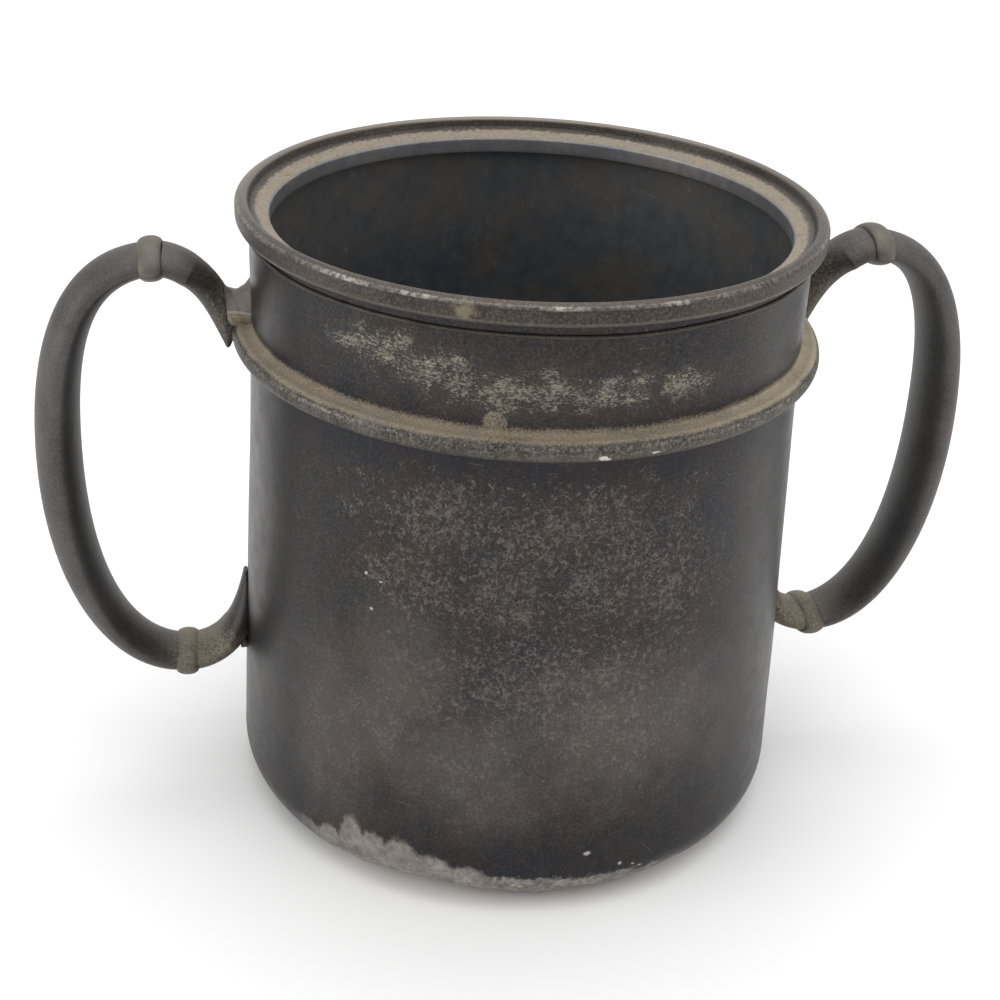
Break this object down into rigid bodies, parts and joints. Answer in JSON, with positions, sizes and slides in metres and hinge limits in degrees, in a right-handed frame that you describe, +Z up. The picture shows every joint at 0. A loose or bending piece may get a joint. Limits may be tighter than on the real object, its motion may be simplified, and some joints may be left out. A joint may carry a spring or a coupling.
{
  "type": "two-handled cup",
  "caption": "Straight-sided cylindrical metal cup with a moulded rim, a raised girdle ring below the neck and a looped, knuckled handle on each side.",
  "frame": {"origin": "centre of the base, on the surface the cup stands on", "axes": "+Z up the cup's axis, +X through the right handle"},
  "size_m": [0.2428, 0.1454, 0.1603],
  "materials": {
    "tarnished_sheet": "dark tarnished plate on sheet metal, speckled and scratched, with paler rubbed patches",
    "rim_moulding": "brown-grey tarnished casting, worn bright along its outer edge, dusty in the cove",
    "girdle_moulding": "brown-grey tarnished casting with tan dust lying on its upper side",
    "handle_casting": "dull grey-brown satin casting, dusty near its ends",
    "handle_knuckle": "dull grey-brown casting, rubbed paler on its high side",
    "solder": "rough pale grey solder"
  },
  "bodies": {
    "root": {"body_wall": "tarnished_sheet", "base_plate": "tarnished_sheet", "base_solder_bead": "solder", "rim_ring": "rim_moulding", "rim_solder_line": "solder", "girdle_ring": "girdle_moulding", "girdle_solder_line": "solder", "left_handle_bow": "handle_casting", "left_upper_bracket": "handle_casting", "left_upper_knuckle": "handle_knuckle", "left_upper_solder": "solder", "left_lower_bracket": "handle_casting", "left_lower_knuckle": "handle_knuckle", "left_lower_solder": "solder", "right_handle_bow": "handle_casting", "right_upper_bracket": "handle_casting", "right_upper_knuckle": "handle_knuckle", "right_upper_solder": "solder", "right_lower_bracket": "handle_casting", "right_lower_knuckle": "handle_knuckle", "right_lower_solder": "solder"}
  },
  "joints": []
}
